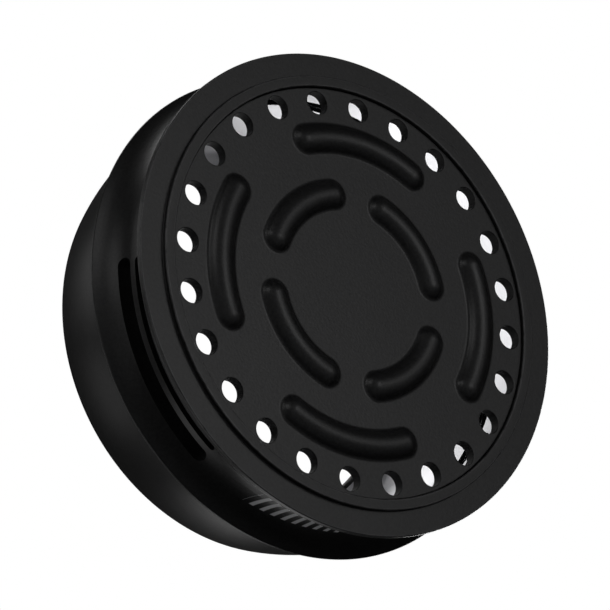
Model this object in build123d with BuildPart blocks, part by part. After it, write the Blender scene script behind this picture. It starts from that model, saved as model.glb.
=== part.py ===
from build123d import *
import math
import os

# Charcoal holder that stands on a water-pipe bowl, in its working position:
# the perforated floor is at the bottom and the open mouth is at the top.
# Millimetres, +Z up. The origin is on the axis, level with the crests of the floor's
# beads, which are the lowest points.

# Overall
chamber_r = 35.0           # inside radius of the charcoal chamber
mouth_r = 28.75            # clear radius of the open top
rim_z = 15.2               # top of the base's flared rim
top_z = 33.1               # top of the cap

# Clearances
running_gap = 0.15         # vent ring turning in the base's bore, radial
seat_gap = 0.15            # between pieces that stand on each other
cap_gap = 0.3              # cap's foot in the rim's pocket, radial
spigot_gap = 0.5           # cap's foot round the vent ring, radial
lug_gap = 0.25             # vent ring's lugs in the cap's notches

# Floor plate
floor_recess = 0.6         # floor's face above the lip's face
floor_t = 1.85             # thickness of the perforated floor
floor_rim_t = 0.6          # shoulder that hangs on the base's ledge
floor_rim_w = 0.7
hole_d = 3.9
hole_count = 24
hole_inset = 3.4           # hole circle inside the chamber's wall
hole_margin = 2.65         # hole circle to the floor's outer edge
bead_h = 1.4               # height of the raised beads under the floor
bead_foot = 2.86           # half the width of a bead at its foot
bead_roll = 0.9            # radius that rolls the floor into a bead
trough_d = 1.3             # depth of the trough that each bead leaves inside
trough_foot = 2.3
trough_roll = 0.8
bead_root = 0.5            # how far bead cutters and bars run past the floor's faces
bead_count = 4             # beads in each of the two rows
outer_bead_r = 25.5
outer_bead_arc = 49.0      # degrees, between the centres of the round ends
outer_bead_turn = 30.8     # degrees, middle of the first outer bead
inner_bead_r = 15.95
inner_bead_arc = 54.5
inner_bead_turn = 75.3

# Base
lip_w = 1.8                # width of the locating lip
lip_h = 0.8                # lip's face below the flange's seat
flange_t = 1.0
flange_over = 3.35         # flange beyond the neck
neck_wall = 0.95
neck_fillet = 1.8          # flange's upper side into the neck
neck_straight = 2.9        # upright part of the neck, below the flare
rim_over = 3.75            # flared rim beyond the neck
rim_t = 0.5                # upright edge at the top of the flare
pocket_d = 1.3             # depth of the cap's pocket in the rim
edge = 0.2                 # small bevel on turned edges
cut_over = 1.0             # how far cutters run past a wall

# Vents, in equal groups round the neck
vent_groups = 3
vent_turn = 271.0          # degrees, middle of the first group
vent_arc = 49.5            # degrees, between the centres of the round ends
vent_over = 7.17           # middle of the open slots above the floor
vent_h = 2.25
groove_under = 2.77        # middle of the blind grooves below the slots
groove_h = 1.15
groove_depth = 0.7
window_over = 0.25         # window in the vent ring beyond its slot

# Vent ring
vent_ring_t = 0.7
lug_arc = 7.0              # degrees
lug_reach = 1.2            # lug beyond the ring
lug_h = 1.4

# Cap
cap_wall = 2.0
cap_top_t = 1.8
bulge_over = 1.1           # upright part of the cap's side above the rim
bulge_r = 46.0             # radius of the cap's curved side
crown_fillet = 2.0         # side into the top face
mouth_fillet = 0.7

# Sizes that follow
vent_ring_r = chamber_r + vent_ring_t
bore_r = vent_ring_r + running_gap
neck_r = bore_r + neck_wall
flange_r = neck_r + flange_over
rim_r = neck_r + rim_over
hole_circle_r = chamber_r - hole_inset
floor_r = hole_circle_r + hole_margin
floor_rim_r = floor_r + floor_rim_w
lip_r = floor_r + lip_w
floor_z = bead_h
lip_z = floor_z - floor_recess
seat_z = lip_z + lip_h
floor_top = floor_z + floor_t
ledge_z = floor_top - floor_rim_t
flange_top = seat_z + flange_t
flare_z = flange_top + neck_fillet + neck_straight
vent_z = floor_top + vent_over
groove_z = vent_z - groove_under
pocket_z = rim_z - pocket_d
foot_z = pocket_z + seat_gap
lug_z = pocket_z + seat_gap
ring_bottom = floor_top + seat_gap
ring_top = lug_z + lug_h + seat_gap
cap_in_r = vent_ring_r + spigot_gap
cap_r = cap_in_r + cap_wall
pocket_r = cap_r + cap_gap
bulge_z = rim_z + bulge_over
lug_r = vent_ring_r + lug_reach
notch_r = lug_r + lug_gap
notch_top = lug_z + lug_h + lug_gap

os.makedirs("parts", exist_ok=True)


def around(radius, angle, z):
    """Point at a radius and an angle in degrees."""
    turn = math.radians(angle)
    return (radius * math.cos(turn), radius * math.sin(turn), z)


def radial_plane(angle, origin=(0, 0, 0)):
    """Upright plane: its x runs outwards at the angle, its y upwards."""
    turn = math.radians(angle)
    return Plane(origin=origin, x_dir=around(1, angle, 0), z_dir=(math.sin(turn), -math.cos(turn), 0))


def ring_block(r_in, r_out, z_low, z_high, middle, arc, mode):
    """Block of a ring's wall, centred on an angle."""
    with BuildSketch(radial_plane(middle - arc / 2)) as section:
        with Locations((r_in, z_low)):
            Rectangle(r_out - r_in, z_high - z_low, align=Align.MIN)
    revolve(section.sketch.face(), axis=Axis.Z, revolution_arc=arc, mode=mode)


def ring_slot(r_in, r_out, z_mid, height, middle, arc):
    """Slot with round ends, cut along a ring's wall."""
    ring_block(r_in, r_out, z_mid - height / 2, z_mid + height / 2, middle, arc, Mode.SUBTRACT)
    for angle in (middle - arc / 2, middle + arc / 2):
        with BuildSketch(Plane(around(r_in, angle, z_mid), x_dir=(0, 0, 1), z_dir=around(1, angle, 0))) as end:
            Circle(height / 2)
        extrude(end.sketch.face(), amount=r_out - r_in, mode=Mode.SUBTRACT)


def bead_section(ring_r, angle, face_z, height, foot, roll, half):
    """Section of a bar that hangs from a face: a round crest between two sloping feet."""
    crest_r = (foot**2 + height**2 - 2 * roll * height) / (2 * height)
    sink = crest_r - height
    lean = math.asin(foot / (crest_r + roll))
    slope_x = crest_r * math.sin(lean)
    slope_y = sink - crest_r * math.cos(lean)
    clear = 4 * crest_r
    with BuildSketch(radial_plane(angle, around(ring_r, angle, face_z))) as section:
        with Locations((0, sink)):
            Circle(crest_r)
        Polygon((-foot, 0), (foot, 0), (slope_x, slope_y), (-slope_x, slope_y), align=None)
        Rectangle(2 * foot, bead_root, align=(Align.CENTER, Align.MIN))
        with Locations((0, bead_root)):
            Rectangle(clear, clear, align=(Align.CENTER, Align.MIN), mode=Mode.SUBTRACT)
        if half:
            Rectangle(clear, 2 * clear, align=(Align.MAX, Align.CENTER), mode=Mode.SUBTRACT)
    return section.sketch.face()


def bead(ring_r, middle, arc, face_z, height, foot, roll, mode):
    """Bar with round ends that hangs from a face and runs along a circle."""
    start = middle - arc / 2
    revolve(bead_section(ring_r, start, face_z, height, foot, roll, False), Axis.Z, arc, mode=mode)
    for angle in (start, start + arc):
        upright = Axis(around(ring_r, angle, 0), (0, 0, 1))
        revolve(bead_section(ring_r, angle, face_z, height, foot, roll, True), upright, mode=mode)


def bead_rows():
    """Ring radius, middle angle and arc of every bead."""
    for k in range(bead_count):
        step = 360.0 / bead_count * k
        yield outer_bead_r, outer_bead_turn + step, outer_bead_arc
        yield inner_bead_r, inner_bead_turn + step, inner_bead_arc


def group_angles(offset=0.0):
    """Middle of each vent group, or of what stands at an offset from it."""
    return [vent_turn + offset + 360.0 / vent_groups * k for k in range(vent_groups)]


# ---- floor plate: hangs on the base's ledge, with beads pressed out below it, a
# trough inside over each of them, and a circle of air holes outside them
with BuildPart() as floor_plate:
    with BuildSketch(Plane.XZ):
        with BuildLine():
            Polyline(
                (0, floor_z),
                (floor_r, floor_z),
                (floor_r, ledge_z),
                (floor_rim_r, ledge_z),
                (floor_rim_r, floor_top),
                (0, floor_top),
                close=True,
            )
        make_face()
    revolve(axis=Axis.Z)
    for ring_r, middle, arc in bead_rows():
        bead(ring_r, middle, arc, floor_z, bead_h, bead_foot, bead_roll, Mode.ADD)
        bead(ring_r, middle, arc, floor_top, trough_d, trough_foot, trough_roll, Mode.SUBTRACT)
    with BuildSketch(Plane.XY.offset(floor_z)):
        with PolarLocations(hole_circle_r, hole_count):
            Circle(hole_d / 2)
    extrude(amount=floor_t, mode=Mode.SUBTRACT)
floor_plate.part.label = "floor_plate"

# ---- base: locating lip, seat flange, waisted neck with the vents, and the
# flared rim whose pocket takes the cap's foot
with BuildPart() as base_shell:
    with BuildSketch(Plane.XZ) as base_section:
        with BuildLine():
            Polyline(
                (neck_r + neck_fillet, flange_top),
                (flange_r, flange_top),
                (flange_r, seat_z),
                (lip_r, seat_z),
                (lip_r, lip_z),
                (floor_r, lip_z),
                (floor_r, ledge_z),
                (floor_rim_r, ledge_z),
                (floor_rim_r, floor_top),
                (bore_r, floor_top),
                (bore_r, pocket_z),
                (pocket_r, pocket_z),
                (pocket_r, rim_z),
                (rim_r, rim_z),
                (rim_r, rim_z - rim_t),
            )
            TangentArc((neck_r, flare_z), (rim_r, rim_z - rim_t), tangent=(0, 1))
            Line((neck_r, flare_z), (neck_r, flange_top + neck_fillet))
            TangentArc(
                (neck_r, flange_top + neck_fillet), (neck_r + neck_fillet, flange_top), tangent=(0, -1)
            )
        make_face()
        outer_corners = [(flange_r, flange_top), (flange_r, seat_z), (lip_r, lip_z), (floor_r, lip_z)]
        for x, z in outer_corners + [(pocket_r, rim_z), (rim_r, rim_z)]:
            chamfer(base_section.vertices().sort_by_distance((x, z, 0))[0], edge)
    revolve(axis=Axis.Z)
    for middle in group_angles():
        ring_slot(bore_r - cut_over, rim_r, vent_z, vent_h, middle, vent_arc)
        ring_slot(neck_r - groove_depth, rim_r, groove_z, groove_h, middle, vent_arc)
base_shell.part.label = "base_shell"

# ---- vent ring: thin liner that turns in the bore and covers or clears the
# vents, hung from three lugs on the pocket's floor
with BuildPart() as vent_ring:
    with BuildSketch(Plane.XZ):
        with Locations((chamber_r, ring_bottom)):
            Rectangle(vent_ring_t, ring_top - ring_bottom, align=Align.MIN)
    revolve(axis=Axis.Z)
    for middle in group_angles(180.0 / vent_groups):
        ring_block(chamber_r + vent_ring_t / 2, lug_r, lug_z, lug_z + lug_h, middle, lug_arc, Mode.ADD)
    for middle in group_angles():
        ring_slot(chamber_r - cut_over, lug_r, vent_z, vent_h + 2 * window_over, middle, vent_arc)
vent_ring.part.label = "vent_ring"

# ---- cap: domed ring with an open mouth, dropped into the rim's pocket and
# keyed to the vent ring by notches in its foot
inner_bulge_r = bulge_r - cap_wall
bulge_centre_r = cap_r - bulge_r
inner_top_z = top_z - cap_top_t
crown_r = bulge_centre_r + math.sqrt(bulge_r**2 - (top_z - bulge_z) ** 2)
inner_crown_r = bulge_centre_r + math.sqrt(inner_bulge_r**2 - (inner_top_z - bulge_z) ** 2)
with BuildPart() as cap_ring:
    with BuildSketch(Plane.XZ) as cap_section:
        with BuildLine():
            Polyline((cap_in_r, bulge_z), (cap_in_r, foot_z), (cap_r, foot_z), (cap_r, bulge_z))
            TangentArc((cap_r, bulge_z), (crown_r, top_z), tangent=(0, 1))
            Polyline((crown_r, top_z), (mouth_r, top_z), (mouth_r, inner_top_z), (inner_crown_r, inner_top_z))
            TangentArc((cap_in_r, bulge_z), (inner_crown_r, inner_top_z), tangent=(0, 1))
        make_face()
        corners = [
            (crown_r, top_z, crown_fillet),
            (inner_crown_r, inner_top_z, crown_fillet),
            (mouth_r, top_z, mouth_fillet),
            (mouth_r, inner_top_z, mouth_fillet),
        ]
        for x, z, radius in corners:
            fillet(cap_section.vertices().sort_by_distance((x, z, 0))[0], radius)
    revolve(axis=Axis.Z)
    for middle in group_angles(180.0 / vent_groups):
        notch_arc = lug_arc + 2 * math.degrees(lug_gap / lug_r)
        ring_block(cap_in_r - cut_over, notch_r, foot_z, notch_top, middle, notch_arc, Mode.SUBTRACT)
cap_ring.part.label = "cap_ring"

for piece in (floor_plate, base_shell, vent_ring, cap_ring):
    export_step(piece.part, f"parts/{piece.part.label}.step")

print("flange", 2 * flange_r, "rim", 2 * rim_r, "height", top_z)
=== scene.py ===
# %% [markdown]
# # A charcoal holder for a water-pipe bowl
#
# The holder is a black-coated aluminium body made of four turned pieces: a
# perforated floor, a waisted base, a vent ring inside it and a domed cap. We
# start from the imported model, which fixes every size, and build the pieces
# again with finer edges and real finishes around it.

# %% Load the frame
import math
import bmesh
import bpy
from mathutils import Matrix, Vector


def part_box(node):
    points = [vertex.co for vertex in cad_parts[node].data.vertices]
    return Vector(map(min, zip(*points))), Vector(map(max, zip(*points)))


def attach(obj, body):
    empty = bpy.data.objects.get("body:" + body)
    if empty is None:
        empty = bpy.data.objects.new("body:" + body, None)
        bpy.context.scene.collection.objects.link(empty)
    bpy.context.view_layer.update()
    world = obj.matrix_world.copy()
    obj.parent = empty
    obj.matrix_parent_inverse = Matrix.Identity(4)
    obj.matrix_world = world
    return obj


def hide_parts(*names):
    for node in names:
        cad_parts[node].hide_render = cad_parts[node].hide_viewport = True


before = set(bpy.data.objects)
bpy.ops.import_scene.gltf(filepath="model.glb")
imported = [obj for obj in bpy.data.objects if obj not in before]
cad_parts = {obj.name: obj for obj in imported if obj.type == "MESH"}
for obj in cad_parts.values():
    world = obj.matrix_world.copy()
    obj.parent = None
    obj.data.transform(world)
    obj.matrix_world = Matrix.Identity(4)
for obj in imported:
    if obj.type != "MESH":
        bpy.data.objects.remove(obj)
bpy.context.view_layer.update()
print("nodes", sorted(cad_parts))

# %% [markdown]
# ## Sizes
#
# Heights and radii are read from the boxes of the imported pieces, so that the
# fine pieces land exactly where the plain ones are. Only the details that a
# box doesn't hold are named here. Blender works in metres, and a turned part
# is easier to read in millimetres, so MM turns one into the other.

# %% Sizes shared by the pieces
MM = 0.001
FULL_TURN = 2 * math.pi


def low(node):
    """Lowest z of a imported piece."""
    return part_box(node)[0].z


def high(node):
    """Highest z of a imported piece."""
    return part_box(node)[1].z


def reach(node):
    """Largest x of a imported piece: its outer radius."""
    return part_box(node)[1].x


lip_z = low("base_shell")                  # lower face of the locating lip
floor_face = lip_z + 0.6 * MM              # the floor's outer face, between the beads
floor_t = 1.85 * MM
floor_top = floor_face + floor_t
floor_rim_t = 0.6 * MM
ledge_z = floor_top - floor_rim_t
floor_rim_r = reach("floor_plate")
floor_r = floor_rim_r - 0.7 * MM
rim_z = high("base_shell")
rim_r = reach("base_shell")
lip_r = floor_r + 1.8 * MM
neck_r = rim_r - 3.75 * MM
bore_r = neck_r - 0.95 * MM
flange_r = neck_r + 3.35 * MM
seat_z = lip_z + 0.8 * MM
flange_top = seat_z + 1.0 * MM
neck_fillet = 1.8 * MM
foot_z = low("cap_ring")
top_z = high("cap_ring")
cap_r = reach("cap_ring")
cap_in_r = cap_r - 2.0 * MM
pocket_r = cap_r + 0.3 * MM
pocket_z = foot_z - 0.15 * MM
flare_z = flange_top + neck_fillet + 2.9 * MM
vent_z = floor_top + 7.17 * MM
vent_turn = math.radians(271.0)
vent_arc = math.radians(49.5)
third = FULL_TURN / 3
print("flange", round(2 * flange_r / MM, 1), "height", round(top_z / MM, 1))

# %% [markdown]
# ## A pen for turned outlines
#
# A lathe part is one outline turned about an axis. The outline is drawn like
# a pen line: a first vertex, straight runs made by extruding the last vertex,
# and arcs made by spinning it about a centre. The whole outline is then spun
# once about Z. This keeps every curve true and every ring of faces even.

# %% Pen helpers


class Pen:
    """Draws a chain of edges in the XZ plane."""

    def __init__(self, bm, r, z):
        self.bm = bm
        self.first = bm.verts.new((r, 0, z))
        self.tip = self.first
        self.chain = [self.first]

    def line(self, *points):
        for r, z in points:
            made = bmesh.ops.extrude_vert_indiv(self.bm, verts=[self.tip])
            self.tip = made["verts"][0]
            self.tip.co = (r, 0, z)
            self.chain.append(self.tip)
        return self

    def arc(self, centre, degrees, steps):
        """Turns the tip about a centre, anticlockwise with z upwards."""
        before = set(self.bm.verts)
        bmesh.ops.spin(
            self.bm, geom=[self.tip], cent=(centre[0], 0, centre[1]), axis=(0, -1, 0),
            angle=math.radians(degrees), steps=steps, use_duplicate=False)
        made = [v for v in self.bm.verts if v not in before]
        while made:
            nearest = min(made, key=lambda v: (v.co - self.tip.co).length)
            made.remove(nearest)
            self.chain.append(nearest)
            self.tip = nearest
        return self

    def close(self):
        self.bm.edges.new((self.tip, self.first))
        return self


def spin_about_z(bm, geom, centre, angle, steps):
    """Spins geometry about an upright axis, and merges a full turn."""
    full = abs(abs(angle) - FULL_TURN) < 1e-6
    bmesh.ops.spin(
        bm, geom=geom, cent=centre, axis=(0, 0, 1), angle=angle, steps=steps,
        use_merge=full, use_duplicate=False)


def chain_geometry(verts):
    """The vertices and the edges that join them."""
    wanted = set(verts)
    edges = {e for v in verts for e in v.link_edges if set(e.verts) <= wanted}
    return list(wanted) + list(edges)


def round_corners(bm, corners, segments=3):
    """Rounds outline corners, given as (r, z, radius)."""
    for r, z, radius in corners:
        corner = min(bm.verts, key=lambda v: (v.co - Vector((r, 0, z))).length)
        bmesh.ops.bevel(
            bm, geom=[corner], offset=radius, offset_type="OFFSET", segments=segments,
            profile=0.5, affect="VERTICES", material=-1, clamp_overlap=True)


MERGE = 1e-6


def finish_mesh(bm, name):
    """Merges seams, points faces outwards and makes an object."""
    bmesh.ops.remove_doubles(bm, verts=bm.verts, dist=MERGE)
    bmesh.ops.recalc_face_normals(bm, faces=bm.faces)
    open_edges = sum(1 for e in bm.edges if not e.is_manifold)
    mesh = bpy.data.meshes.new(name)
    bm.to_mesh(mesh)
    bm.free()
    piece = bpy.data.objects.new(name, mesh)
    bpy.context.scene.collection.objects.link(piece)
    print(name, "faces", len(mesh.polygons), "open edges", open_edges)
    return piece


def shade(piece, sharp=35.0):
    """Smooth shading, with normals led by the large faces."""
    piece.data.polygons.foreach_set("use_smooth", [True] * len(piece.data.polygons))
    piece.data.set_sharp_from_angle(angle=math.radians(sharp))
    weighted = piece.modifiers.new("large faces lead", "WEIGHTED_NORMAL")
    weighted.mode = "FACE_AREA"
    weighted.weight = 100
    weighted.keep_sharp = True
    return piece


# %% [markdown]
# ## Cutting slots
#
# The vents are long slots with round ends that run round the neck. Their
# cutter starts as one vertex: spun along the wall it draws an edge of the
# slot, spun half a turn about the slot's end it draws the round end, and so
# on until the loop closes. Scaled outwards it becomes a solid cutter, and a
# Boolean takes it out of the wall. The wall's own rings of vertices lie at
# the slot's edges, so the cut leaves no slivers along them.

# %% Slot cutters and the Boolean


def slot_loop(bm, r, z, height, middle, arc, steps):
    """Closed outline of a slot on a wall of radius r."""
    start = middle - arc / 2
    before = set(bm.verts)
    tip = bm.verts.new((r * math.cos(start), r * math.sin(start), z + height / 2))
    end_steps = 12
    for about, turn, count in (
        ("wall", arc, steps), ("end", math.pi, end_steps),
        ("wall", -arc, steps), ("start", math.pi, end_steps),
    ):
        angle = start + arc if about == "end" else start
        outward = Vector((math.cos(angle), math.sin(angle), 0))
        axis = (0, 0, 1) if about == "wall" else -outward
        cent = (0, 0, z) if about == "wall" else outward * r + Vector((0, 0, z))
        made = bmesh.ops.spin(
            bm, geom=[tip], cent=cent, axis=axis, angle=turn, steps=count,
            use_duplicate=False)
        tip = [g for g in made["geom_last"] if isinstance(g, bmesh.types.BMVert)][0]
    fresh = [v for v in bm.verts if v not in before]
    bmesh.ops.remove_doubles(bm, verts=fresh, dist=MERGE)
    return [v for v in bm.verts if v not in before]


def slot_cutter(bm, r_in, r_out, z, height, middle, arc, steps):
    """Solid that cuts a slot from r_in to r_out."""
    loop = slot_loop(bm, r_in, z, height, middle, arc, steps)
    edges = list({e for v in loop for e in v.link_edges})
    made = bmesh.ops.extrude_edge_only(bm, edges=edges)
    outer = [g for g in made["geom"] if isinstance(g, bmesh.types.BMVert)]
    bmesh.ops.scale(bm, verts=outer, vec=(r_out / r_in, r_out / r_in, 1))
    outer_edges = [g for g in made["geom"] if isinstance(g, bmesh.types.BMEdge)]
    for ring in (edges, outer_edges):
        bmesh.ops.triangle_fill(bm, edges=ring, use_beauty=False, use_dissolve=False)


def block(bm, r_in, r_out, z_low, z_high, middle, arc, steps=6):
    """Block of a ring's wall."""
    before = set(bm.verts)
    pen = Pen(bm, r_in, z_low).line((r_out, z_low), (r_out, z_high), (r_in, z_high)).close()
    bmesh.ops.contextual_create(bm, geom=pen.chain)
    face = [f for f in bm.faces if set(f.verts) == set(pen.chain)]
    bmesh.ops.rotate(
        bm, verts=pen.chain, cent=(0, 0, 0), matrix=Matrix.Rotation(middle - arc / 2, 3, "Z"))
    bmesh.ops.spin(
        bm, geom=face, cent=(0, 0, 0), axis=(0, 0, 1), angle=arc, steps=steps,
        use_duplicate=False)
    fresh = [v for v in bm.verts if v not in before]
    bmesh.ops.remove_doubles(bm, verts=fresh, dist=MERGE)


def combine(piece, tool_bm, how):
    """Cuts a tool out of a piece, or joins it on."""
    tool = finish_mesh(tool_bm, piece.name + "_tool")
    boolean = piece.modifiers.new("combine", "BOOLEAN")
    boolean.operation = how
    boolean.solver = "EXACT"
    boolean.object = tool
    evaluated = piece.evaluated_get(bpy.context.evaluated_depsgraph_get())
    mesh = bpy.data.meshes.new_from_object(evaluated)
    piece.modifiers.remove(boolean)
    piece.data = mesh
    bpy.data.objects.remove(tool)
    print(piece.name, how.lower(), "faces", len(mesh.polygons))
    return piece


# %% [markdown]
# ## The floor plate
#
# The floor is a disc with a stepped edge, 24 air holes, and eight curved beads
# pressed out below it, each with a trough over it inside. A bead has a round
# crest, round ends and a rolled foot. It could be joined on with Booleans, but
# a pressed shape wants smooth rolled edges, so each hole, bead and trough is
# its own small spun shell that ends in a flat collar. The flat faces are then
# filled in between the collars.

# %% Floor plate: rim and air holes
hole_r = 1.95 * MM
hole_circle_r = 31.6 * MM
hole_count = 24
hole_edge = 0.12 * MM
collar = 0.1 * MM
joint_gap = 0.09 * MM
rim_round = 0.15 * MM
turn_steps = 240

floor_bm = bmesh.new()
pen = Pen(floor_bm, floor_r - joint_gap - rim_round - collar, floor_face)
pen.line((floor_r - joint_gap - rim_round, floor_face))
pen.arc((floor_r - joint_gap - rim_round, floor_face + rim_round), 90, 4)
pen.line((floor_r - joint_gap, ledge_z), (floor_rim_r, ledge_z), (floor_rim_r, floor_top - rim_round))
pen.arc((floor_rim_r - rim_round, floor_top - rim_round), 90, 4)
pen.line((floor_rim_r - rim_round - collar, floor_top))
spin_about_z(floor_bm, chain_geometry(pen.chain), (0, 0, 0), FULL_TURN, turn_steps)

before_hole = set(floor_bm.verts)
pen = Pen(floor_bm, hole_circle_r + hole_r + hole_edge + collar, floor_face)
pen.line((hole_circle_r + hole_r + hole_edge, floor_face))
pen.arc((hole_circle_r + hole_r + hole_edge, floor_face + hole_edge), -90, 3)
pen.line((hole_circle_r + hole_r, floor_top - hole_edge))
pen.arc((hole_circle_r + hole_r + hole_edge, floor_top - hole_edge), -90, 3)
pen.line((hole_circle_r + hole_r + hole_edge + collar, floor_top))
spin_about_z(floor_bm, chain_geometry(pen.chain), (hole_circle_r, 0, 0), FULL_TURN, 40)
hole_verts = [v for v in floor_bm.verts if v not in before_hole]
hole_parts = hole_verts + list({e for v in hole_verts for e in v.link_edges})
hole_parts += list({f for v in hole_verts for f in v.link_faces})
bmesh.ops.spin(
    floor_bm, geom=hole_parts, cent=(0, 0, 0), axis=(0, 0, 1),
    angle=FULL_TURN * (hole_count - 1) / hole_count, steps=hole_count - 1, use_duplicate=True)
print("floor so far", len(floor_bm.faces), "faces")

# %% Floor plate: beads below, troughs inside
bead_shape = (1.4 * MM, 2.86 * MM, 0.9 * MM)       # depth, half width at the foot, roll
trough_shape = (1.3 * MM, 2.3 * MM, 0.8 * MM)
bead_rows = (
    (25.5 * MM, math.radians(30.8), math.radians(49.0), 26),
    (15.95 * MM, math.radians(75.3), math.radians(54.5), 20),
)
end_steps = 16


def bead_outline(bm, ring_r, face_z, shape, half):
    """Outline that dips from a face, or the half of it that its ends are spun from."""
    depth, foot, roll = shape
    crest_r = (foot ** 2 + depth ** 2 - 2 * roll * depth) / (2 * depth)
    lean = math.degrees(math.asin(foot / (crest_r + roll)))
    centre = (ring_r, face_z - depth + crest_r)
    if half:
        pen = Pen(bm, ring_r, face_z - depth).arc(centre, lean, 11)
    else:
        pen = Pen(bm, ring_r - foot - collar, face_z).line((ring_r - foot, face_z))
        pen.arc((ring_r - foot, face_z - roll), -lean, 7).arc(centre, 2 * lean, 22)
    pen.arc((ring_r + foot, face_z - roll), -lean, 7)
    pen.line((ring_r + foot + collar, face_z))
    return pen.chain


def bead(bm, ring_r, middle, arc, steps, face_z, shape):
    """Long shell with round ends, laid round a circle."""
    start = middle - arc / 2
    for half, at, sweep in ((False, start, 0), (True, start, -math.pi), (True, start + arc, math.pi)):
        chain = bead_outline(bm, ring_r, face_z, shape, half)
        bmesh.ops.rotate(bm, verts=chain, cent=(0, 0, 0), matrix=Matrix.Rotation(at, 3, "Z"))
        centre = (ring_r * math.cos(at), ring_r * math.sin(at), 0) if half else (0, 0, 0)
        spin_about_z(bm, chain_geometry(chain), centre, sweep or arc, end_steps if half else steps)


def bead_ring(target, ring_r, middle, arc, steps):
    """Four equal beads with their troughs, made apart and then added."""
    small = bmesh.new()
    bead(small, ring_r, middle, arc, steps, floor_face, bead_shape)
    bead(small, ring_r, middle, arc, steps, floor_top, trough_shape)
    bmesh.ops.spin(
        small, geom=small.verts[:] + small.edges[:] + small.faces[:], cent=(0, 0, 0),
        axis=(0, 0, 1), angle=math.radians(270), steps=3, use_duplicate=True)
    carrier = bpy.data.meshes.new("carrier")
    small.to_mesh(carrier)
    small.free()
    target.from_mesh(carrier)
    bpy.data.meshes.remove(carrier)


for ring_r, middle, arc, steps in bead_rows:
    bead_ring(floor_bm, ring_r, middle, arc, steps)
bmesh.ops.remove_doubles(floor_bm, verts=floor_bm.verts, dist=MERGE)
for level, up in ((floor_face, -1), (floor_top, 1)):
    edges = [
        e for e in floor_bm.edges
        if e.is_boundary and all(abs(v.co.z - level) < MERGE for v in e.verts)]
    bmesh.ops.triangle_fill(
        floor_bm, edges=edges, use_beauty=True, use_dissolve=False, normal=(0, 0, up))
floor_plate = shade(finish_mesh(floor_bm, "perforated_floor"))

# %% [markdown]
# ## The base
#
# The base is one turned shell: a narrow locating lip, a flat flange that sits
# on the bowl, a waisted neck, and a flared rim with a pocket for the cap. All
# its corners are broken by a small round, because a sharp black edge would
# catch no light. The six cuts round the neck come last: three open slots, and
# under each a shallow groove that is only a decoration.

# %% Base shell
edge_round = 0.2 * MM
rim_edge = 0.5 * MM
vent_h = 2.25 * MM
groove_z = vent_z - 2.77 * MM
groove_h = 1.15 * MM
groove_depth = 0.7 * MM
flare_top = rim_z - rim_edge
flare_run = flare_top - flare_z
flare_over = rim_r - neck_r
flare_radius = (flare_run ** 2 + flare_over ** 2) / (2 * flare_over)


def flare_r(z):
    """Outer radius of the flare at a height."""
    return neck_r + flare_radius - math.sqrt(flare_radius ** 2 - (z - flare_z) ** 2)


base_bm = bmesh.new()
pen = Pen(base_bm, neck_r + neck_fillet, flange_top)
pen.line(
    (flange_r, flange_top), (flange_r, seat_z), (lip_r, seat_z), (lip_r, lip_z), (floor_r, lip_z),
    (floor_r, ledge_z), (floor_rim_r, ledge_z), (floor_rim_r, floor_top), (bore_r, floor_top))
rows = (groove_z - groove_h / 2, groove_z + groove_h / 2, vent_z - vent_h / 2, vent_z + vent_h / 2)
pen.line(*[(bore_r, z) for z in rows])
pen.line((bore_r, pocket_z), (pocket_r, pocket_z), (pocket_r, rim_z), (rim_r, rim_z), (rim_r, flare_top))
heights = [flare_top - flare_run * k / 14 for k in range(1, 14)]
heights = [z for z in heights if min(abs(z - row) for row in rows) > 0.25 * MM]
heights = sorted(heights + list(rows[1:]) + [flare_z], reverse=True)
pen.line(*[(flare_r(z), z) for z in heights])
pen.line((neck_r, rows[0]), (neck_r, (flare_z + flange_top) / 2), (neck_r, flange_top + neck_fillet))
pen.arc((neck_r + neck_fillet, flange_top + neck_fillet), 90, 8)
bmesh.ops.remove_doubles(base_bm, verts=base_bm.verts, dist=MERGE)
round_corners(base_bm, [
    (flange_r, flange_top, edge_round), (flange_r, seat_z, edge_round), (lip_r, lip_z, edge_round),
    (floor_r, lip_z, edge_round), (pocket_r, rim_z, edge_round), (rim_r, rim_z, edge_round),
    (rim_r, flare_top, 0.12 * MM), (lip_r, seat_z, 0.1 * MM)])
first_column = vent_turn - vent_arc / 2
bmesh.ops.rotate(
    base_bm, verts=base_bm.verts, cent=(0, 0, 0), matrix=Matrix.Rotation(first_column, 3, "Z"))
spin_about_z(base_bm, base_bm.verts[:] + base_bm.edges[:], (0, 0, 0), FULL_TURN, turn_steps)
base_shell = finish_mesh(base_bm, "slotted_base")

slot_steps = round(vent_arc / (FULL_TURN / turn_steps))
cut_over = 1 * MM                          # how far a cutter starts inside a wall
cut_reach = 50 * MM                        # radius that clears every wall
cutter = bmesh.new()
for k in range(3):
    at = vent_turn + k * third
    slot_cutter(cutter, bore_r - cut_over, cut_reach, vent_z, vent_h, at, vent_arc, slot_steps)
    slot_cutter(cutter, neck_r - groove_depth, cut_reach, groove_z, groove_h, at, vent_arc, slot_steps)
shade(combine(base_shell, cutter, "DIFFERENCE"))

# %% [markdown]
# ## The vent ring
#
# Inside the base turns a thin bare ring with three windows. It is a plain
# tube, so a rectangle is spun, three small lugs that the cap grips are joined
# on, and the windows are cut with the same cutter as the base's slots, a
# little larger, so that an open vent shows no edge of the ring.

# %% Vent ring
ring_in_r = 35.0 * MM
ring_r = 35.7 * MM
ring_low = low("vent_ring")
ring_high = high("vent_ring")
lug_r = ring_r + 1.2 * MM
lug_z = foot_z
lug_h = 1.4 * MM
lug_arc = math.radians(7)
lug_gap = 0.25 * MM                        # lugs in the cap's notches
lug_root = 0.3 * MM                        # how deep a lug is let into the ring
window_h = vent_h + 0.5 * MM
window_reach = 40 * MM

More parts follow.
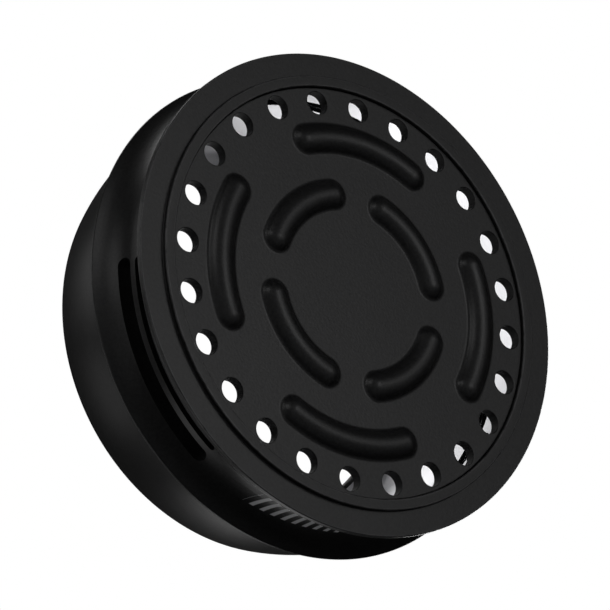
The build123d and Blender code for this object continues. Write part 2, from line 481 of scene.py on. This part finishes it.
vent_bm = bmesh.new()
pen = Pen(vent_bm, ring_in_r, ring_low)
pen.line((ring_r, ring_low), (ring_r, ring_high), (ring_in_r, ring_high))
pen.line((ring_in_r, vent_z + window_h / 2), (ring_in_r, vent_z - window_h / 2)).close()
round_corners(vent_bm, [(ring_in_r, ring_high, 0.12 * MM), (ring_r, ring_high, 0.12 * MM)])
bmesh.ops.rotate(
    vent_bm, verts=vent_bm.verts, cent=(0, 0, 0), matrix=Matrix.Rotation(first_column, 3, "Z"))
spin_about_z(vent_bm, vent_bm.verts[:] + vent_bm.edges[:], (0, 0, 0), FULL_TURN, turn_steps)
vent_ring = finish_mesh(vent_bm, "vent_liner")
lugs = bmesh.new()
windows = bmesh.new()
for k in range(3):
    at = vent_turn + k * third
    block(lugs, ring_in_r + lug_root, lug_r, lug_z, lug_z + lug_h, at + third / 2, lug_arc)
    slot_cutter(windows, ring_in_r - 2 * cut_over, window_reach, vent_z, window_h, at, vent_arc, slot_steps)
combine(vent_ring, lugs, "UNION")
shade(combine(vent_ring, windows, "DIFFERENCE"))

# %% [markdown]
# ## The cap
#
# The cap is a domed ring with an open mouth: a short upright foot, a large
# side arc, a rounded shoulder and a flat top with a soft inner edge. The arcs
# meet without a corner when the small circle's centre lies on a line through
# the large circle's centre, which is how the shoulder is worked out here.

# %% Cap ring
bulge_z = rim_z + 1.1 * MM
bulge_radius = 46.0 * MM
cap_wall = 2.0 * MM
top_t = 1.8 * MM
shoulder = 2.0 * MM
mouth_round = 0.7 * MM
mouth_r = 28.75 * MM
bulge_centre = cap_r - bulge_radius


def shoulder_of(radius, top):
    """Centre of the shoulder round, and the side arc's angle below it."""
    rise = top - shoulder - bulge_z
    run = math.sqrt((radius - shoulder) ** 2 - rise ** 2)
    return bulge_centre + run, math.degrees(math.atan2(rise, run))


out_r, out_angle = shoulder_of(bulge_radius, top_z)
in_r, in_angle = shoulder_of(bulge_radius - cap_wall, top_z - top_t)
cap_bm = bmesh.new()
pen = Pen(cap_bm, cap_in_r, bulge_z).line((cap_in_r, foot_z), (cap_r, foot_z), (cap_r, bulge_z))
pen.arc((bulge_centre, bulge_z), out_angle, 24)
pen.arc((out_r, top_z - shoulder), 90 - out_angle, 10)
pen.line((mouth_r + mouth_round, top_z)).arc((mouth_r + mouth_round, top_z - mouth_round), 90, 7)
pen.line((mouth_r, top_z - top_t + mouth_round))
pen.arc((mouth_r + mouth_round, top_z - top_t + mouth_round), 90, 7)
pen.line((in_r, top_z - top_t)).arc((in_r, top_z - top_t - shoulder), -(90 - in_angle), 10)
pen.arc((bulge_centre, bulge_z), -in_angle, 24)
bmesh.ops.remove_doubles(cap_bm, verts=cap_bm.verts, dist=MERGE)
round_corners(cap_bm, [(cap_r, foot_z, 0.2 * MM), (cap_in_r, foot_z, 0.1 * MM)])
spin_about_z(cap_bm, cap_bm.verts[:] + cap_bm.edges[:], (0, 0, 0), FULL_TURN, turn_steps)
cap_ring = finish_mesh(cap_bm, "domed_cap")
notches = bmesh.new()
notch_arc = lug_arc + 2 * lug_gap / lug_r
notch_top = lug_z + lug_h + lug_gap
for k in range(3):
    at = vent_turn + (k + 0.5) * third
    block(notches, cap_in_r - cut_over, lug_r + lug_gap, foot_z - cut_over, notch_top, at, notch_arc)
shade(combine(cap_ring, notches, "DIFFERENCE"))

# %% [markdown]
# ## Finishes
#
# Outside, the metal carries a thin black coat: satin, very dark, with a fine
# grain that shows as a soft speckle. Inside it is bare turned aluminium. Both
# read Object coordinates, so the grain has its real size on every piece.
# Lighter patchy rings along some edges are painted highlight.

# %% Node helpers


class Finish:
    """Small helper that adds nodes to a material and links them."""

    def __init__(self, name):
        self.material = bpy.data.materials.new(name)
        self.material.use_nodes = True
        self.tree = self.material.node_tree
        self.shader = self.tree.nodes["Principled BSDF"]
        self.place = self.node("ShaderNodeTexCoord").outputs["Object"]

    def node(self, kind, **settings):
        made = self.tree.nodes.new(kind)
        for key, value in settings.items():
            setattr(made, key, value)
        return made

    def feed(self, socket, value):
        """Links a socket, or sets a constant."""
        if isinstance(value, bpy.types.NodeSocket):
            self.tree.links.new(value, socket)
        else:
            socket.default_value = value

    def math(self, how, a, b=0.0, clamp=False):
        made = self.node("ShaderNodeMath", operation=how, use_clamp=clamp)
        self.feed(made.inputs[0], a)
        self.feed(made.inputs[1], b)
        return made.outputs[0]

    def noise(self, per_metre, detail=2.0):
        """Noise with so many waves in a metre."""
        made = self.node("ShaderNodeTexNoise")
        self.feed(made.inputs["Vector"], self.place)
        made.inputs["Scale"].default_value = per_metre
        made.inputs["Detail"].default_value = detail
        return made.outputs["Fac"]

    def between(self, factor, a, b):
        """Value or colour that goes from a to b as the factor goes from 0 to 1."""
        colour = isinstance(a, tuple) or isinstance(b, tuple)
        made = self.node("ShaderNodeMix", data_type="RGBA" if colour else "FLOAT")
        self.feed(made.inputs[0], factor)
        self.feed(made.inputs[6 if colour else 2], a)
        self.feed(made.inputs[7 if colour else 3], b)
        return made.outputs[2 if colour else 0]

    def ramp(self, value, start, end, low_out=0.0, high_out=1.0):
        made = self.node("ShaderNodeMapRange")
        self.feed(made.inputs["Value"], value)
        limits = {"From Min": start, "From Max": end, "To Min": low_out, "To Max": high_out}
        for key, number in limits.items():
            made.inputs[key].default_value = number
        return made.outputs[0]

    def bump(self, height, depth, strength=1.0):
        made = self.node("ShaderNodeBump")
        made.inputs["Strength"].default_value = strength
        made.inputs["Distance"].default_value = depth
        self.feed(made.inputs["Height"], height)
        self.feed(self.shader.inputs["Normal"], made.outputs[0])
        return made

    def radius_and_height(self):
        """Distance from the axis, and height, of the shaded point."""
        parts = self.node("ShaderNodeSeparateXYZ")
        self.feed(parts.inputs[0], self.place)
        x, y, z = parts.outputs
        squares = self.math("ADD", self.math("MULTIPLY", x, x), self.math("MULTIPLY", y, y))
        return self.math("SQRT", squares), z, self.math("ARCTAN2", y, x)


def grey(level):
    return (level, level, level * 1.02, 1.0)


# %% Black coat
scale_middle = math.radians(-151)          # the printed scale, on the neck
scale_half = 12.4 * MM
scale_low = lip_z + 7.3 * MM
tick_pitch = 1.9 * MM


def airflow_scale(f):
    """Mask of a printed scale: slanted ticks that grow towards the open side."""
    across, height, turn = f.radius_and_height()
    rise = f.math("SUBTRACT", height, scale_low)
    along = f.math("MULTIPLY", f.math("SUBTRACT", turn, scale_middle), neck_r)
    slanted = f.math("SUBTRACT", along, f.math("MULTIPLY", rise, 0.45))
    part = f.math("FRACT", f.math("DIVIDE", f.math("ADD", slanted, scale_half), tick_pitch))
    tick = f.math("MULTIPLY", f.ramp(part, 0.0, 0.05), f.ramp(part, 0.42, 0.47, 1.0, 0.0))
    tall = f.ramp(slanted, -scale_half, scale_half, 2.0 * MM, 3.2 * MM)
    below = f.ramp(f.math("SUBTRACT", rise, tall), -0.04 * MM, 0.04 * MM, 1.0, 0.0)
    above = f.ramp(rise, -0.04 * MM, 0.04 * MM)
    inside = f.ramp(f.math("ABSOLUTE", slanted), scale_half - 0.02 * MM, scale_half, 1.0, 0.0)
    outside = f.ramp(across, neck_r - 0.1 * MM, neck_r - 0.05 * MM)
    mask = f.math("MULTIPLY", f.math("MULTIPLY", tick, below), f.math("MULTIPLY", above, inside))
    return f.math("MULTIPLY", mask, outside)


def black_coat(name, level, rough, grain, highlit_edges=(), printed=False):
    """Satin black coating with a fine grain and painted highlights along its edges."""
    f = Finish(name)
    speck = f.noise(2300, 2.5)
    cloud = f.noise(70, 3.0)
    colour = f.between(f.ramp(speck, 0.36, 0.64), grey(level * 0.6), grey(level * 1.5))
    colour = f.between(f.ramp(cloud, 0.3, 0.7, 0.0, 0.15), colour, grey(level * 1.5))
    roughness = f.ramp(cloud, 0.3, 0.7, rough - 0.01, rough + 0.02)
    # Lighter, patchy rings along the listed edges: a painted edge highlight, with a little less roughness.
    if highlit_edges:
        across, height, turn = f.radius_and_height()
        edge_highlight = None
        for r, z in highlit_edges:
            dr = f.math("SUBTRACT", across, r)
            dz = f.math("SUBTRACT", height, z)
            away = f.math("SQRT", f.math("ADD", f.math("MULTIPLY", dr, dr), f.math("MULTIPLY", dz, dz)))
            near = f.ramp(away, 0.1 * MM, 0.32 * MM, 1.0, 0.0)
            edge_highlight = near if edge_highlight is None else f.math("MAXIMUM", edge_highlight, near)
        edge_highlight = f.math("MULTIPLY", edge_highlight, f.ramp(f.noise(700, 3.0), 0.25, 0.55))
        colour = f.between(f.math("MULTIPLY", edge_highlight, 0.6), colour, grey(0.14))
        roughness = f.between(edge_highlight, roughness, rough - 0.12)
    if printed:
        ink = airflow_scale(f)
        colour = f.between(f.math("MULTIPLY", ink, 0.97), colour, grey(0.9))
        roughness = f.between(ink, roughness, 0.55)
    f.feed(f.shader.inputs["Base Color"], colour)
    f.feed(f.shader.inputs["Roughness"], roughness)
    f.bump(speck, grain)
    return f


def bare_metal(name):
    """Turned aluminium: fine rings from the tool, and a soft cloudiness."""
    f = Finish(name)
    across, height, turn = f.radius_and_height()
    rings = f.node("ShaderNodeTexNoise", noise_dimensions="2D")
    place = f.node("ShaderNodeCombineXYZ")
    f.feed(place.inputs[0], across)
    f.feed(place.inputs[1], height)
    f.feed(rings.inputs["Vector"], place.outputs[0])
    rings.inputs["Scale"].default_value = 6000
    lines = rings.outputs["Fac"]
    cloud = f.noise(120, 3.0)
    f.feed(f.shader.inputs["Base Color"], f.between(cloud, grey(0.78), grey(0.9)))
    f.shader.inputs["Metallic"].default_value = 1.0
    f.feed(f.shader.inputs["Roughness"], f.ramp(lines, 0.3, 0.7, 0.42, 0.58))
    f.bump(lines, 0.004 * MM)
    return f


# The edges listed for each coat get the painted edge highlight.
floor_coat = black_coat("floor_coat", 0.013, 0.36, 0.024 * MM, [(floor_r, floor_face)])
base_coat = black_coat("base_coat", 0.010, 0.36, 0.020 * MM, [
    (flange_r, seat_z), (flange_r, flange_top), (lip_r, lip_z), (floor_r, lip_z), (rim_r, rim_z),
    (pocket_r, rim_z)], printed=True)
cap_coat = black_coat("cap_coat", 0.010, 0.36, 0.018 * MM, [(cap_r, foot_z)])
# Darker, duller black for the walls of the holes, slots and grooves and the vent ring's outside: painted
# shade where little light reaches.
painted_shade_black = black_coat("painted_shade_black", 0.005, 0.75, 0.004 * MM)
painted_shade_black.shader.inputs["Specular IOR Level"].default_value = 0.12
aluminium = bare_metal("turned_aluminium")
print("materials", len(bpy.data.materials))

# %% [markdown]
# ## Where the coat ends
#
# The coat covers what can be touched from outside and stops at the mouth, so
# the inner faces of the cap and the base's bore are bare. The finishes meet
# along rings of the mesh, so each face simply gets one slot. The walls of the
# holes, slots and grooves, and the vent ring's outside, get a darker, duller
# black, which is painted shade.

# %% Give the finishes to the pieces


def dress(piece, coat, *others):
    """Coat on every face, except where the test of another finish holds."""
    piece.data.materials.clear()
    for finish in (coat,) + tuple(finish for finish, test in others):
        piece.data.materials.append(finish.material)
    for face in piece.data.polygons:
        across = Vector((face.center.x, face.center.y, 0))
        outward = face.normal.dot(across.normalized())
        picked = [
            slot for slot, (finish, test) in enumerate(others, 1)
            if test(across.length, face.center.z, outward, face.normal.z)]
        face.material_index = picked[0] if picked else 0
    shares = [sum(1 for f in piece.data.polygons if f.material_index == k) for k in range(len(others) + 1)]
    print(piece.name, "faces per finish", shares)


skin = 0.02 * MM
# The walls of the floor's holes, the base's slots and groove, and the vent ring's outside get the darker
# black, which is painted shade.
dress(
    floor_plate, floor_coat,
    (painted_shade_black, lambda r, z, outward, up: hole_circle_r - hole_r - skin < r < hole_circle_r + hole_r + skin
     and abs(up) < 0.5))
dress(
    base_shell, base_coat,
    (aluminium, lambda r, z, outward, up: r < bore_r + skin and z > floor_top),
    (painted_shade_black, lambda r, z, outward, up: rows[0] - skin < z < rows[3] + skin
     and bore_r + skin < r < flare_r(max(z, flare_z)) - skin))
dress(
    vent_ring, painted_shade_black,
    (aluminium, lambda r, z, outward, up: r < ring_in_r + skin and outward < -0.5))
dress(
    cap_ring, cap_coat,
    (aluminium, lambda r, z, outward, up: (outward < -0.02 and r > mouth_r + 2 * mouth_round)
     or (up < -0.5 and z > bulge_z and r > mouth_r + mouth_round)))

for piece, node, body, slot in (
    (floor_plate, "floor_plate", "base", "floor_black"),
    (base_shell, "base_shell", "base", "base_black"),
    (vent_ring, "vent_ring", "vent", "bare_aluminium"),
    (cap_ring, "cap_ring", "cap", "cap_black"),
):
    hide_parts(node)
    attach(piece, body)

# %% [markdown]
# ## Studio
#
# The holder is seen from below, as if it were held up to show its floor. A
# black object is drawn by what it reflects, so the light comes from soft
# panels all round it: the strongest are the one that the floor plate mirrors
# and those at the right and in front, which draw the neck and the cap. A small
# lamp in the mouth fills the bare inside. The floor and the sky look white to
# the camera, but add next to no light of their own.

# %% Floor, panels and surroundings
bpy.ops.mesh.primitive_plane_add(size=6, location=(0, 0, -0.95))
ground = bpy.context.object
ground.name = "studio_floor"
pale = Finish("studio_white")
pale.shader.inputs["Base Color"].default_value = grey(0.85)
pale.shader.inputs["Roughness"].default_value = 0.7
pale.shader.inputs["Emission Color"].default_value = grey(0.9)
in_view = pale.node("ShaderNodeLightPath").outputs["Is Camera Ray"]
pale.feed(pale.shader.inputs["Emission Strength"], pale.math("MULTIPLY", in_view, 1.1))
ground.data.materials.append(pale.material)


def panel(name, place, size, watts):
    """Soft panel that faces the object."""
    light = bpy.data.lights.new(name, "AREA")
    light.shape = "RECTANGLE"
    light.size = size[0]
    light.size_y = size[1]
    light.energy = watts
    lamp = bpy.data.objects.new(name, light)
    lamp.location = place
    lamp.rotation_euler = Vector(place).to_track_quat("Z", "Y").to_euler()
    lamp.visible_camera = False
    bpy.context.scene.collection.objects.link(lamp)
    return lamp


for name, place, size, watts in (
    ("chamber_lamp", (0, 0, 0.031), 0.045, 0.010),
    ("plate_panel", (0.063, 0.364, -0.821), 0.35, 0.48),
    ("plate_wide_panel", (0.059, 0.584, -0.682), 0.5, 0.16),
    ("plate_far_panel", (-0.273, 0.653, -0.556), 0.35, 0.04),
    ("below_panel", (0.678, -0.313, -0.503), 0.35, 0.37),
    ("below_small_panel", (0.578, -0.389, -0.569), 0.3, 0.12),
    ("below_front_panel", (0.183, -0.811, -0.344), 0.35, 0.07),
    ("right_panel", (0.635, -0.632, -0.079), 0.35, 0.41),
    ("front_panel", (0.291, -0.828, 0.201), 0.3, 0.30),
    ("side_panel", (0.517, -0.273, 0.684), 0.4, 0.30),
    ("front_top_panel", (0.041, -0.468, 0.768), 0.35, 0.17),
    ("left_top_panel", (-0.344, -0.662, 0.503), 0.35, 0.40),
    ("back_top_panel", (-0.184, 0.684, 0.556), 0.35, 2.0),
    ("back_right_panel", (0.732, 0.267, 0.450), 0.35, 0.80),
    ("back_left_panel", (-0.601, -0.106, 0.662), 0.35, 0.60),
):
    panel(name, place, (size, size), watts)

world = bpy.data.worlds.new("studio")
bpy.context.scene.world = world
world.use_nodes = True
sky = world.node_tree
seen = sky.nodes.new("ShaderNodeLightPath")
strength = sky.nodes.new("ShaderNodeMapRange")
strength.inputs["To Min"].default_value = 0.01
strength.inputs["To Max"].default_value = 1.0
sky.links.new(seen.outputs["Is Camera Ray"], strength.inputs["Value"])
sky.links.new(strength.outputs[0], sky.nodes["Background"].inputs["Strength"])
sky.nodes["Background"].inputs["Color"].default_value = (1, 1, 1, 1)
bpy.context.scene.view_settings.view_transform = "Standard"

# %% Camera
lens = bpy.data.cameras.new("camera")
lens.lens = 179.28
lens.sensor_width = 36
lens.clip_start = 0.01
camera = bpy.data.objects.new("camera", lens)
right = Vector((-0.38335, 0.71780, -0.58121))
up = Vector((0.92127, 0.25254, -0.29577))
back = right.cross(up)
turned = Matrix((right, up, back)).transposed().to_4x4()
camera.matrix_world = Matrix.Translation((-0.030727, -0.318574, -0.358313)) @ turned
bpy.context.scene.collection.objects.link(camera)
bpy.context.scene.camera = camera
